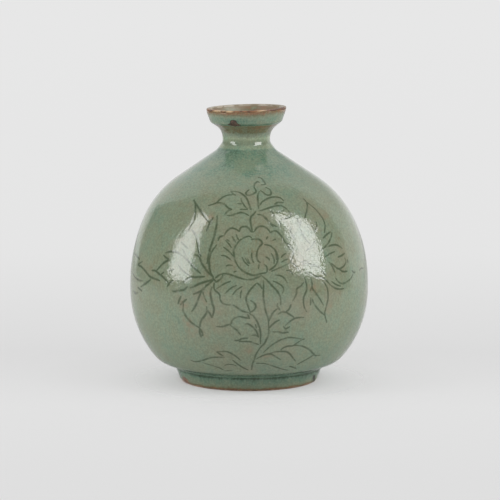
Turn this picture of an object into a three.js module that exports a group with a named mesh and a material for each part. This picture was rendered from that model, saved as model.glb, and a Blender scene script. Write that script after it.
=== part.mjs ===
// A small stoneware bottle vase with a round body, a short neck and a dish-shaped mouth, made as a
// potter makes it: five turned clay pieces, the slip that lutes them together, and the celadon glaze
// over them. Millimetres, +Z up, the origin on the table below the belly's centre.
import * as THREE from "three";

// How finely the turned surfaces are cut into flats.
const RING_SIDES = 36;
const ARC_TOLERANCE = 0.16;

// The glazed outside. Each corner of its outline stands its rise above the corner below it, at its
// radius from the axis, and is rounded.
const FOOT_RISE = 8.6;
const FOOT_RADIUS = 41;
const FOOT_TAPER = 4.2;
const FOOT_ROUNDING = 4;
const HEEL_RISE = 3.1;
const HEEL_RADIUS = 50;
const HEEL_ROUNDING = 12;
const LOWER_RISE = 18.8;
const LOWER_ROUNDING = 56.4;
const BELLY_RISE = 41.4;
const BELLY_RADIUS = 65.2;
const UPPER_ROUNDING = 85.5;
const UPPER_RISE = 31.5;
const SHOULDER_RADIUS = 51.4;
const SHOULDER_ROUNDING = 55.5;
const SHOULDER_RISE = 25.7;
const NECK_RADIUS = 13;
const NECK_RISE = 8.5;
const NECK_ROUNDING = 7.8;
const FLARE_RISE = 4.8;
const DISH_RADIUS = 19.5;
const DISH_ROUNDING = 1.5;
const DISH_RISE = 7.6;
const LIP_RADIUS = 22.3;

// The walls inside it, and the recess below the floor.
const BODY_WALL = 4.5;
const FLOOR_THICKNESS = 5.5;
const FLOOR_ROUNDING = 9;
const NECK_WALL = 3.5;
const BORE_ROUNDING = 3;
const DISH_WALL = 2.7;
const BASIN_DEPTH = 6;
const BASIN_FALL = 1.6;
const BASIN_ROUNDING = 2.5;
const LIP_WALL = 2.2;
const LIP_ROUND_STEPS = 6;
const FOOT_WALL = 7.9;
const FOOT_WALL_SLOPE = 0.8;
const FOOT_EDGE_BEVEL = 0.5;

// The seams where the clay pieces are luted: how far each lies from the corner it is named after, and
// the slip in it. At the belly the slip stands out inside as a bead, where no tool could reach it.
const FOOT_SEAM_DROP = 1.4;
const BELLY_SEAM_RISE = 26.5;
const NECK_SEAM_DROP = 0.9;
const DISH_SEAM_DROP = 1.7;
const SLIP_THICKNESS = 0.4;
const BEAD_WIDTH = 1.6;
const BEAD_RISE = 1.1;

// The glaze: its thickness, the clay it leaves bare at the foot's edge and at the lip, and how far it
// has run down the bore below the neck.
const GLAZE_THICKNESS = 0.5;
const BARE_FOOT_HEIGHT = 1.3;
const BARE_LIP_HEIGHT = 0.9;
const GLAZE_RUN = 2.5;

// The clay was not thrown quite true: the mouth and the foot sit a little to the left of the belly.
const MOUTH_DRIFT = -1.5;
const FOOT_DRIFT = -0.2;

const corner = (radius, height, rounding = 0) => ({ radius, height, rounding });

// The corner where two straight lines meet, each given by two points.
function meeting(a, b, c, d, rounding) {
  const abRadius = b.radius - a.radius;
  const abHeight = b.height - a.height;
  const cdRadius = d.radius - c.radius;
  const cdHeight = d.height - c.height;
  const cross = abRadius * cdHeight - abHeight * cdRadius;
  const share = ((c.radius - a.radius) * cdHeight - (c.height - a.height) * cdRadius) / cross;
  return corner(a.radius + abRadius * share, a.height + abHeight * share, rounding);
}

// One edge of an outline, moved sideways: to the left of its direction by the distance given.
function shifted(a, b, distance) {
  const radius = b.radius - a.radius;
  const height = b.height - a.height;
  const length = Math.hypot(radius, height);
  const outRadius = (-height / length) * distance;
  const outHeight = (radius / length) * distance;
  return [
    corner(a.radius + outRadius, a.height + outHeight),
    corner(b.radius + outRadius, b.height + outHeight),
  ];
}

// The outline that lies at one distance inside another that runs upwards.
function parallel(outline, distance) {
  const edges = outline.slice(1).map((end, i) => shifted(outline[i], end, distance));
  const inner = edges.slice(1).map((edge, i) => {
    const [before, at, after] = outline.slice(i, i + 3);
    const turn =
      (at.radius - before.radius) * (after.height - at.height) -
      (at.height - before.height) * (after.radius - at.radius);
    const rounding = at.rounding - Math.sign(turn) * distance;
    return meeting(...edges[i], ...edge, Math.max(rounding, 0));
  });
  return [edges[0][0], ...inner, edges[edges.length - 1][1]];
}

// The arc that rounds each corner, as points of [radius, height]. Where two arcs would need more of
// the edge between them than there is, both get smaller.
function rounded(outline) {
  const vectors = outline.map((c) => new THREE.Vector2(c.radius, c.height));
  const spans = outline.map((c, i) => {
    if (i === 0 || i === outline.length - 1) return 0;
    const before = vectors[i].clone().sub(vectors[i - 1]);
    const after = vectors[i + 1].clone().sub(vectors[i]);
    return c.rounding * Math.tan(Math.abs(before.angleTo(after)) / 2);
  });
  const shares = spans.slice(1).map((span, i) => {
    const length = vectors[i + 1].distanceTo(vectors[i]);
    return Math.min(1, length / Math.max(span + spans[i], Number.EPSILON));
  });
  return outline.flatMap((c, i) => {
    if (spans[i] === 0) return [[c.radius, c.height]];
    const span = spans[i] * Math.min(shares[i - 1], shares[i]);
    const back = vectors[i - 1].clone().sub(vectors[i]).normalize();
    const ahead = vectors[i + 1].clone().sub(vectors[i]).normalize();
    const turn = Math.PI - back.angleTo(ahead);
    const bisector = back.clone().add(ahead).normalize();
    const radius = span / Math.tan(turn / 2);
    const centre = vectors[i].clone().addScaledVector(bisector, radius / Math.cos(turn / 2));
    const start = vectors[i].clone().addScaledVector(back, span).sub(centre);
    const way = Math.sign(back.cross(ahead)) * -1;
    const step = 2 * Math.acos(Math.max(0, 1 - ARC_TOLERANCE / radius));
    const steps = Math.ceil(turn / step);
    return Array.from({ length: steps + 1 }, (_, k) => {
      const point = start.clone().rotateAround(new THREE.Vector2(), (way * turn * k) / steps);
      return point.add(centre).toArray();
    });
  });
}

// The outline with a point of its own at each height given, so that a piece can end there.
function withHeights(points, heights) {
  return points.flatMap((point, i) => {
    const next = points[i + 1];
    if (!next) return [point];
    const between = heights
      .filter((h) => (h - point[1]) * (next[1] - h) > 0)
      .sort((a, b) => (a - b) * Math.sign(next[1] - point[1]))
      .map((h) => {
        const share = (h - point[1]) / (next[1] - point[1]);
        return [point[0] + share * (next[0] - point[0]), h];
      });
    return [point, ...between];
  });
}

const stretch = (points, low, high) => points.filter(([, h]) => h >= low && h <= high);
const radiusAt = (points, height) => points.find(([, h]) => h === height)[0];
const reversed = (points) => [...points].reverse();

// The corners of the finished outside, from the foot's edge to the lip.
const risingCorners = [
  [0, FOOT_RADIUS - FOOT_TAPER],
  [FOOT_RISE, FOOT_RADIUS, FOOT_ROUNDING],
  [HEEL_RISE, HEEL_RADIUS, HEEL_ROUNDING],
  [LOWER_RISE, BELLY_RADIUS, LOWER_ROUNDING],
  [BELLY_RISE, BELLY_RADIUS, UPPER_ROUNDING],
  [UPPER_RISE, SHOULDER_RADIUS, SHOULDER_ROUNDING],
  [SHOULDER_RISE, NECK_RADIUS, NECK_ROUNDING],
  [NECK_RISE, NECK_RADIUS, NECK_ROUNDING],
  [FLARE_RISE, DISH_RADIUS, DISH_ROUNDING],
  [DISH_RISE, LIP_RADIUS],
];
let reached = 0;
const finishedCorners = risingCorners.map(([rise, radius, rounding]) => {
  reached += rise;
  return corner(radius, reached, rounding);
});
const [, foot, , bellyLow, bellyHigh, , neckRoot, , dish, lip] = finishedCorners;

// The heights at which pieces end.
const BARE_FOOT_END = BARE_FOOT_HEIGHT;
const BARE_LIP_START = lip.height - BARE_LIP_HEIGHT;
const FOOT_SEAM = foot.height - FOOT_SEAM_DROP;
const BELLY_SEAM = bellyLow.height + BELLY_SEAM_RISE;
const NECK_SEAM = neckRoot.height - NECK_SEAM_DROP;
const DISH_SEAM = dish.height - DISH_SEAM_DROP;
const GLAZE_RUN_END = neckRoot.height - GLAZE_RUN;
const BASIN_HEIGHT = lip.height - BASIN_DEPTH;
const BASE_HEIGHT = FOOT_SEAM + SLIP_THICKNESS;
const FLOOR_HEIGHT = BASE_HEIGHT + FLOOR_THICKNESS;
const beadEnds = [BELLY_SEAM - BEAD_WIDTH, BELLY_SEAM + SLIP_THICKNESS + BEAD_WIDTH];
const seamEnds = [FOOT_SEAM, BELLY_SEAM, NECK_SEAM, DISH_SEAM].flatMap((seam) => [
  seam,
  seam + SLIP_THICKNESS,
]);

// The finished outside and the clay under its glaze.
const finished = withHeights(rounded(finishedCorners), [BARE_FOOT_END, BARE_LIP_START]);
const clayCorners = parallel(finishedCorners, GLAZE_THICKNESS);
const clay = withHeights(rounded(clayCorners), [BARE_FOOT_END, ...seamEnds, BARE_LIP_START]);

// The inside of the clay: the floor, the body's wall, the bore, and the basin of the dish.
const boreRadius = neckRoot.radius - GLAZE_THICKNESS - NECK_WALL;
const basinRadius = dish.radius - GLAZE_THICKNESS - DISH_WALL;
const lipInside = lip.radius - GLAZE_THICKNESS - LIP_WALL;
const bodyEnds = [finishedCorners.indexOf(foot), finishedCorners.indexOf(neckRoot) + 1];
const wallCorners = parallel(finishedCorners.slice(...bodyEnds), GLAZE_THICKNESS + BODY_WALL);
const floorLine = [corner(0, FLOOR_HEIGHT), corner(bellyLow.radius, FLOOR_HEIGHT)];
const boreLine = [corner(boreRadius, 0), corner(boreRadius, lip.height)];
const insideCorners = [
  floorLine[0],
  meeting(...floorLine, ...wallCorners.slice(0, 2), FLOOR_ROUNDING),
  ...wallCorners.slice(1, -1),
  meeting(...boreLine, ...wallCorners.slice(-2), BORE_ROUNDING),
  corner(boreRadius, BASIN_HEIGHT - BASIN_FALL, BORE_ROUNDING),
  corner(basinRadius, BASIN_HEIGHT, BASIN_ROUNDING),
  corner(lipInside, lip.height),
];
const glazeEnds = [GLAZE_RUN_END, BARE_LIP_START];
const inside = withHeights(rounded(insideCorners), [...seamEnds, ...beadEnds, ...glazeEnds]);
const insideGlazed = withHeights(rounded(parallel(insideCorners, GLAZE_THICKNESS)), glazeEnds);

// How far the throwing axis has wandered sideways at a height.
function drift(height) {
  const { smoothstep } = THREE.MathUtils;
  const towardsMouth = smoothstep(height, bellyHigh.height, neckRoot.height);
  const towardsFoot = 1 - smoothstep(height, 0, bellyLow.height);
  return MOUTH_DRIFT * towardsMouth + FOOT_DRIFT * towardsFoot;
}

const matt = (color) => new THREE.MeshStandardMaterial({ color, roughness: 0.85, metalness: 0 });
const glossy = (color) => new THREE.MeshStandardMaterial({ color, roughness: 0.15, metalness: 0 });
const FIRED_CLAY = 0x9c7a5c;
const FIRED_SLIP = 0xa88a6a;
const CELADON = 0x84937a;

// A piece turned from an outline that runs up its outside and down its inside, and that is closed on
// itself or starts and ends on the axis.
function turned(name, points, material) {
  const closed = points[0][0] === 0 ? points : [...points, points[0]];
  const outline = closed.map(([radius, height]) => new THREE.Vector2(radius, height));
  const geometry = new THREE.LatheGeometry(outline, RING_SIDES).rotateX(Math.PI / 2);
  const positions = geometry.getAttribute("position");
  for (let i = 0; i < positions.count; i++) {
    positions.setX(i, positions.getX(i) + drift(positions.getZ(i)));
  }
  const mesh = new THREE.Mesh(geometry, material);
  mesh.name = name;
  return mesh;
}

// The stretch between two heights of a wall with the outline of its outside and of its inside.
const between = (outer, inner, low, high) => [
  ...stretch(outer, low, high),
  ...reversed(stretch(inner, low, high)),
];

// The slip in a seam, as wide as the wall there.
const slipFilm = (name, seam) =>
  turned(name, between(clay, inside, seam, seam + SLIP_THICKNESS), matt(FIRED_SLIP));

// The foot ring, with its bare flat edge below and the recess inside it.
const recessRadius = radiusAt(clay, FOOT_SEAM) - FOOT_WALL;
function footRing() {
  const outerEdge = clay[0][0];
  const innerEdge = recessRadius + FOOT_WALL_SLOPE;
  const outline = [
    [outerEdge - FOOT_EDGE_BEVEL, 0],
    [outerEdge, FOOT_EDGE_BEVEL],
    ...stretch(clay, FOOT_EDGE_BEVEL, FOOT_SEAM),
    [recessRadius, FOOT_SEAM],
    [innerEdge, FOOT_EDGE_BEVEL],
    [innerEdge + FOOT_EDGE_BEVEL, 0],
  ];
  return turned("foot_ring", outline, matt(FIRED_CLAY));
}

// The slip between the foot ring and the floor.
function footSlip() {
  const outer = stretch(clay, FOOT_SEAM, BASE_HEIGHT);
  const outline = [...outer, [recessRadius, BASE_HEIGHT], [recessRadius, FOOT_SEAM]];
  return turned("foot_slip", outline, matt(FIRED_SLIP));
}

// The lower half of the body, thrown as a bowl with a flat floor.
function lowerBody() {
  const outline = [[0, BASE_HEIGHT], ...between(clay, inside, BASE_HEIGHT, BELLY_SEAM)];
  return turned("lower_body", outline, matt(FIRED_CLAY));
}

// The slip at the belly, with its bead inside.
function bellySlip() {
  const top = BELLY_SEAM + SLIP_THICKNESS;
  const [low, high] = beadEnds;
  const beadRadius = radiusAt(inside, BELLY_SEAM) - BEAD_RISE;
  const outline = [
    ...stretch(clay, BELLY_SEAM, top),
    ...stretch(inside, top, high),
    [beadRadius, top],
    [beadRadius, BELLY_SEAM],
    ...stretch(inside, low, BELLY_SEAM),
  ];
  return turned("belly_slip", outline, matt(FIRED_SLIP));
}

// The upper half of the body, with the shoulder.
function upperBody() {
  const outline = between(clay, inside, BELLY_SEAM + SLIP_THICKNESS, NECK_SEAM);
  return turned("upper_body", outline, matt(FIRED_CLAY));
}

// The waisted neck.
function neck() {
  const outline = between(clay, inside, NECK_SEAM + SLIP_THICKNESS, DISH_SEAM);
  return turned("neck", outline, matt(FIRED_CLAY));
}

// The dish of the mouth, with a rounded lip left bare on top.
function mouthDish() {
  const start = DISH_SEAM + SLIP_THICKNESS;
  const lipOuter = radiusAt(clay, BARE_LIP_START);
  const lipInner = radiusAt(inside, BARE_LIP_START);
  const lipMiddle = (lipOuter + lipInner) / 2;
  const roundedLip = Array.from({ length: LIP_ROUND_STEPS - 1 }, (_, k) => {
    const angle = (Math.PI * (k + 1)) / LIP_ROUND_STEPS;
    const radius = lipMiddle + (lipOuter - lipMiddle) * Math.cos(angle);
    return [radius, BARE_LIP_START + BARE_LIP_HEIGHT * Math.sin(angle)];
  });
  const outline = [
    ...stretch(clay, start, BARE_LIP_START),
    ...roundedLip,
    ...reversed(stretch(inside, start, BARE_LIP_START)),
  ];
  return turned("mouth_dish", outline, matt(FIRED_CLAY));
}

// The glaze over the whole outside, from the foot's bare edge to the bare lip.
const outerGlaze = () =>
  turned("outer_glaze", between(finished, clay, BARE_FOOT_END, BARE_LIP_START), glossy(CELADON));

// The glaze in the dish and down the bore.
const mouthGlaze = () =>
  turned("mouth_glaze", between(inside, insideGlazed, GLAZE_RUN_END, BARE_LIP_START), glossy(CELADON));

// The glaze on the base, inside the foot ring.
function baseGlaze() {
  const radius = recessRadius - GLAZE_THICKNESS;
  const low = BASE_HEIGHT - GLAZE_THICKNESS;
  const outline = [
    [0, low],
    [radius, low],
    [radius, BASE_HEIGHT],
    [0, BASE_HEIGHT],
  ];
  return turned("base_glaze", outline, glossy(CELADON));
}

const vase = new THREE.Group();
vase.add(
  footRing(),
  footSlip(),
  lowerBody(),
  bellySlip(),
  upperBody(),
  slipFilm("neck_slip", NECK_SEAM),
  neck(),
  slipFilm("dish_slip", DISH_SEAM),
  mouthDish(),
  outerGlaze(),
  mouthGlaze(),
  baseGlaze(),
);

export default vase;
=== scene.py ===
import cmath
import math

import bpy
import numpy as np
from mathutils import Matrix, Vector, noise
from mathutils.kdtree import KDTree


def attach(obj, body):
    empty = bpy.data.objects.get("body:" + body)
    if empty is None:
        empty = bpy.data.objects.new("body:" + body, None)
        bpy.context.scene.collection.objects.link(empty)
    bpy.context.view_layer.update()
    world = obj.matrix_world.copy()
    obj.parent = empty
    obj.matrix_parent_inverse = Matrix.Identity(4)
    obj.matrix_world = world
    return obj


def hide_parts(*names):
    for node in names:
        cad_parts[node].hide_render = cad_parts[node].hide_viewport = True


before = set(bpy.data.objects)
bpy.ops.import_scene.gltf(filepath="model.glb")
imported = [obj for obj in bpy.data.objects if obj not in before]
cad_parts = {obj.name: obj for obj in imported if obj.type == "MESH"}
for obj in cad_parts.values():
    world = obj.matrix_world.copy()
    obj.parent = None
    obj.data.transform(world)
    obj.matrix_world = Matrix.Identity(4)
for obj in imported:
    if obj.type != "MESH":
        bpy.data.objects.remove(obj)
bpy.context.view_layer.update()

# Sizes are in millimetres, and a mesh gets them in metres.
MM = 0.001

# The finished outside: each corner's radius and height, and how far it is rounded.
OUTSIDE = [
    (37.3, 0.0, 0.0),
    (40.7, 8.6, 4.0),
    (50.0, 11.7, 12.0),
    (65.2, 30.5, 56.4),
    (65.2, 71.9, 85.5),
    (51.4, 103.4, 55.5),
    (16.1, 127.0, 9.0),
    (13.0, 131.3, 3.6),
    (13.0, 137.6, 7.8),
    (19.5, 142.4, 1.5),
    (22.3, 150.0, 0.0),
]

# Turned lines and ridges on it: the height of each, how far it stands out and how tall it is.
TURNED_LINES = [
    (7.2, -0.3, 0.45),
    (10.4, -0.05, 0.5),
    (128.3, -0.1, 0.3),
    (133.3, -0.08, 0.6),
    (135.6, 0.06, 1.0),
]

# The glaze over it. It thins out towards its edges, which wander up and down.
GLAZE_THICKNESS = 0.5
GLAZE_BOTTOM = 1.3
GLAZE_TOP = 149.1
GLAZE_EDGE_THICKNESS = 0.2
GLAZE_EDGE_LENGTH = 0.8
GLAZE_EDGE_WANDER = 0.5
GLAZE_EDGE_SAG = 0.65
GLAZE_EDGE_ZONE = 2.0

# The dish of the mouth, the bore below it, and how far down the glaze has run.
LIP_RADIUS = 22.2
LIP_INSIDE_RADIUS = 19.6
LIP_EDGE_ROUNDING = 0.4
LIP_INNER_ROUNDING = 0.7
BASIN_RADIUS = 16.3
BASIN_HEIGHT = 144.0
BASIN_FALL = 1.6
BASIN_ROUNDING = 2.5
BORE_RADIUS = 9.0
BORE_ROUNDING = 3.0
BORE_GLAZE_BOTTOM = 126.6
DISH_BOTTOM = 141.1
DISH_TOP = 150.0

# The foot ring, and the base inside it.
FOOT_SEAM = 7.2
FOOT_EDGE_RADIUS = 36.9
FOOT_EDGE_ROUNDING = 0.6
RECESS_RADIUS = 31.9
RECESS_EDGE_RADIUS = 32.7
BASE_GLAZE_RADIUS = 31.4
BASE_GLAZE_ROUNDING = 0.3
BASE_HEIGHT = 7.6

# The clay was not thrown quite true: its axis wanders, and the rim rises to the right, by degrees.
MOUTH_DRIFT = -1.5
FOOT_DRIFT = -0.2
DRIFT_HEIGHTS = (30.5, 71.9, 129.1)
RIM_TILT = 1.5
RIM_TILT_HEIGHTS = (138.0, 145.0)

# How finely the surfaces are cut.
TURN_STEPS = 148
MOUTH_STEPS = 120
BASE_STEPS = 96
OUTLINE_SPACING = 2.2
FINE_SPACING = 0.8
LINE_SPACING = 0.35
LOOKUP_SPACING = 0.05
BACK_SPACING = 6.0
MOUTH_BACK_SPACING = 2.0
BASE_SPACING = 3.0
ARC_STEPS = 4
FINE_FOOT_TOP = 12.0
FINE_NECK_BOTTOM = 124.0
MERGE_DISTANCE = 0.002
SMOOTH_ANGLE = 50

# The camera that took the photograph.
CAMERA_PLACE = (0.5, -1500.0, 283.5)
CAMERA_TILT = 8.04
CAMERA_LENS = 199.0
SENSOR_WIDTH = 36.0
PHOTO_WIDTH = 500
BODY_REACH = 70.0
HALVINGS = 30

# The plain backdrop: how bright it is by how far down the camera looks, as the sine of the angle.
BACKDROP = [(0.06, 231), (0.14, 229), (0.175, 220), (0.195, 226), (0.22, 223)]

# The incised drawing, read from the photograph: each cut is a row of its pixels, on a photograph 500 wide.
# The knife went deep along outlines and stems, and lightly along veins.
FLOWER = [
    [(218.1, 240.5), (219.7, 237), (223.5, 235.7)],
    [(224.1, 235.7), (226, 232.2), (229.2, 229), (232.4, 228.1), (236.3, 229.4), (239.4, 231.6)],
    [(239.4, 231.6), (240.7, 227.8), (243.9, 226.5), (247.1, 227.1), (249.6, 229.4), (251.2, 231.6),
     (253.8, 231.9)],
    [(254.4, 231.3), (257.3, 227.4), (261.1, 226.2), (265.3, 227.1), (268.8, 230.3), (269.7, 232.2)],
    [(270.7, 232.5), (273.9, 230.9), (277.1, 231.6), (280.3, 234.8), (282.2, 237.3), (284.2, 241)],
    [(284.2, 241), (286.1, 243.3), (289.4, 244.8), (291.6, 247.7), (293.1, 251), (292.6, 256), (290, 263)],
    [(216.5, 245), (213.3, 249.4), (210.4, 254.5), (209.1, 259.6), (209.1, 265.4), (211.4, 274.3),
     (213.3, 276.5)],
    [(240.7, 239.2), (237.5, 243.1), (235, 246.9), (233.7, 251.4), (234.3, 257.1), (235.3, 260.9),
     (237.5, 265.4)],
    [(237.5, 265.4), (240.7, 269.2), (245.2, 272.4), (249.6, 274.3), (254.1, 275.3), (262.4, 273.4),
     (266.2, 272.7)],
    [(251.6, 239.5), (254.7, 239.2), (259.2, 239.5), (261.8, 241.8), (261.8, 244.3), (259.2, 246.9),
     (257.3, 250.7)],
    [(257.3, 250.7), (256.7, 254.5), (257, 258.4), (258.6, 261.6), (260.5, 262.5)],
    [(264.6, 244.7), (268.8, 245.3), (272.6, 247.5), (275.8, 251.4), (277.4, 255.8), (277.7, 260.3),
     (276.1, 264.7)],
    [(276.1, 264.7), (273.2, 267.6), (269.4, 270.2)],
    [(221, 274.6), (223.5, 273.7), (227.3, 273.7), (232.4, 275.3), (237.5, 277.2), (242.6, 278.8),
     (247.1, 279.7)],
    [(247.1, 279.7), (252.2, 279.4), (256.7, 277.8), (260.5, 276.5)],
]
FLOWER_VEINS = [
    [(271.3, 253.3), (273.2, 256.5), (274.2, 260.3), (273.9, 263.5)],
    [(265.6, 256.8), (268.1, 258.1), (269.7, 260.3)],
    [(258.9, 264.4), (258.6, 268.6)],
    [(264, 264.1), (266.2, 266), (267.2, 268.6), (266.9, 272.4)],
    [(242, 257.1), (243.9, 260.9), (246.5, 263.8), (249, 266)],
    [(247.7, 258.4), (248.4, 260.9), (250, 263.8)],
    [(251.9, 252.6), (251.6, 256.5), (252.5, 260.3), (253.8, 262.5)],
    [(232.1, 236.4), (233.7, 239.2), (235.6, 242.1)],
    [(236.3, 234.5), (237.2, 237.3), (238.8, 240.2)],
    [(226.7, 239.6), (229.9, 241.5)],
    [(267.8, 236.4), (266.2, 239.2)],
    [(272.6, 240.5), (275.8, 238.9)],
    [(223.2, 246.9), (227, 249.8), (230.5, 252.9), (233.7, 256.5)],
    [(221.3, 255.5), (224.8, 255.8), (228, 257.7), (231.2, 260.3)],
    [(226, 266), (229.2, 265.1), (232.4, 265.7)],
    [(233.7, 272.1), (236.3, 271.1)],
    [(240.8, 240), (244.5, 237.5), (249, 236.3), (252, 238.2)],
    [(225.4, 240.4), (228.6, 243.6), (231.4, 247.6)],
    [(245.4, 258), (247, 261), (248.6, 263.6)],
    [(272.4, 247.2), (275.2, 250.6), (276.2, 255), (276.2, 259.8)],
    [(281.2, 257.4), (283.5, 254.9), (286, 253.3)],
    [(281.5, 262.2), (284.7, 260.3), (287.9, 259)],
    [(271.3, 271.4), (276.4, 269.2), (282.2, 266.7), (288.6, 263.5)],
    [(286.5, 270.4), (290.1, 271.2), (293.1, 274.5)],
]
LOWER_PETALS = [
    [(214.2, 283.1), (213.9, 287.1), (215.1, 290.3), (218.2, 292.9), (219.9, 295.8), (219.9, 299.2)],
    [(219.9, 299.2), (222.2, 302.6), (225.7, 304.4), (230.3, 304.9)],
    [(233.1, 304.9), (236.6, 307.2), (240.6, 310.1), (244.6, 311.8), (248.6, 312.7)],
    [(256.7, 283.1), (252.1, 287.7), (248.6, 292.3), (246.3, 297.5), (246.6, 302.1), (248.6, 307.8),
     (249.8, 311.3)],
    [(250.4, 300.6), (253.2, 302.1), (255.5, 304.9), (255.5, 307.8), (253.2, 310.7), (249.8, 312.4)],
    [(261, 275.3), (265.5, 278.8), (270.6, 284.2), (275.7, 289.3), (278.9, 293.8), (280.5, 298.3),
     (280.8, 304.6)],
    [(277.6, 303.4), (277.6, 306.6), (280.2, 310.1)],
    [(303.8, 282.3), (301.2, 285.5), (296.8, 289.3), (296.4, 293.8), (292.9, 300.8)],
    [(291, 304.6), (289.1, 309.1), (285.9, 311.7)],
    [(215.5, 278.1), (218, 275.9), (220.3, 274.3)],
    [(215.8, 282.3), (220.9, 278.8), (222.5, 275.6), (222.2, 274)],
    [(205, 287.1), (208.8, 283.9), (213.3, 279.4)],
    [(212.5, 278), (215.9, 281.4)],
]
PETAL_VEINS = [
    [(216.5, 288.6), (219.4, 286.9), (224.5, 283.7), (230.8, 281.1)],
    [(225.1, 293.7), (228, 290.6), (232, 287.4), (236.6, 285.4)],
    [(232.6, 294.9), (235.4, 291.2), (238.9, 288.3), (242.3, 286.6)],
    [(241.5, 290.6), (240.6, 294), (240.6, 298.1)],
    [(275.7, 275), (280.8, 275.9), (284.6, 278.5), (287.2, 283)],
    [(273.2, 281), (278.3, 283.3), (282.1, 286.1), (283.7, 289.3), (282.7, 293.2)],
]
STEM = [
    [(263.3, 280.4), (263.6, 286.8), (263.3, 294.4), (264.2, 302.1), (265.5, 310.4), (268.1, 318.7),
     (268.7, 325.1)],
    [(268.7, 325.1), (268.8, 331.4), (268.2, 335.5), (266.4, 339.6), (264.6, 343.2), (261.7, 346.1),
     (258.8, 349.6)],
    [(258.8, 349.6), (255.8, 354.9), (254.1, 360.2), (252.3, 364.3), (251.7, 369.6)],
    [(257.2, 283), (259.8, 285.5), (262.3, 288.7)],
    [(249.6, 313.6), (253.4, 316.1), (256.6, 320.6), (259.1, 326.3), (260.4, 332.1), (260.5, 337.8),
     (260.5, 343.8)],
]
STEM_LEAVES = [
    [(269, 321.2), (271.3, 315.5), (273.8, 311.7), (277.6, 308.5)],
    [(278.3, 314.2), (281.5, 312.3), (285.9, 312.3), (290.4, 314.9), (294.2, 317.4)],
    [(285.3, 325.7), (289.9, 321.5), (294.6, 318.5), (299.3, 317.6), (304, 317.6)],
    [(283.4, 326.3), (285.3, 328.6), (287.2, 328.2), (289.7, 326.7)],
    [(272.5, 331.8), (278.1, 332), (282.8, 332.9), (288.5, 332.1)],
    [(268.1, 329.5), (271.9, 325.1), (275.7, 321.9), (279.5, 320)],
    [(216.6, 326.5), (221.8, 326.7), (227.1, 325.2), (230.7, 323.9), (232.3, 320.5), (235.4, 317.8),
     (239.6, 316.5)],
    [(239.6, 316.5), (244.9, 317.6), (249.6, 318.4)],
    [(230.2, 325.2), (233.9, 328), (237.5, 330.9), (240.7, 335.1)],
    [(244.9, 324.1), (248, 323.9), (251.1, 325.7), (254.3, 328.8), (256.4, 331.4), (258.5, 337.2)],
    [(234.9, 340.3), (239.1, 340.3), (241.7, 338.8), (248, 338)],
    [(251.7, 335.6), (255.3, 335.1), (257.9, 336.7)],
    [(239.1, 341.6), (245.4, 341.6), (251.1, 341.9), (255.3, 343.5), (258.5, 344.5)],
]
STEM_VEINS = [
    [(247.7, 314.2), (249.6, 318.7)],
    [(255.3, 324.4), (256.6, 328.2)],
]
BOTTOM_LEAVES = [
    [(216.6, 351.8), (226, 351.6), (230.2, 352.9), (233.9, 355), (237.5, 357.6), (240.7, 360.5)],
    [(216.6, 351.8), (219.7, 353.9), (223.4, 356)],
    [(191, 360.5), (194.1, 361.5), (198.3, 361.5), (202.5, 360.5), (208.2, 358.4), (214, 357.3),
     (224.5, 357.3)],
    [(232.8, 360.2), (236.5, 363.3), (240.7, 366.2), (244.3, 368.3), (248, 369.9)],
    [(263.5, 352.6), (267.6, 348.5), (272.9, 344.3), (278.7, 340.8), (284, 338.8), (290.5, 337.6),
     (301, 338.8)],
    [(301.6, 340.2), (297.5, 342.6), (292.8, 345.8), (288.1, 346.1), (283.4, 347.9), (280.5, 350.2)],
    [(302.2, 339.6), (304.6, 339.1)],
    [(256.4, 359), (261.7, 356.1), (265.8, 354.6), (270.5, 354), (275.2, 356.4), (280.5, 359.6)],
    [(270.5, 353.1), (276.4, 351.7), (285.8, 351.7), (289.9, 354), (292.8, 357.8), (295.8, 361.4)],
    [(294, 345.5), (299.3, 345.5), (304.6, 347), (309.2, 349.6), (312.8, 353.1), (315.7, 355.5),
     (319.8, 355.2)],
    [(313.9, 354.9), (309.2, 357.8), (303.4, 361.1), (297.5, 364.3)],
    [(289.3, 366.1), (292.8, 367.2), (296.3, 368.4)],
]
BOTTOM_VEINS = [
    [(203, 362.8), (208.2, 364.4), (214.5, 366.2), (219.7, 368.1), (223.4, 369.9)],
    [(224.5, 365.4), (228.1, 364.4), (232.8, 364.7), (236.5, 366)],
    [(224.5, 370.9), (232.3, 370.4)],
    [(256.4, 363.4), (263.5, 363.4), (270.5, 365.2), (276.4, 367.2), (282.8, 369.3), (288.1, 370.2)],
]
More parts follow.
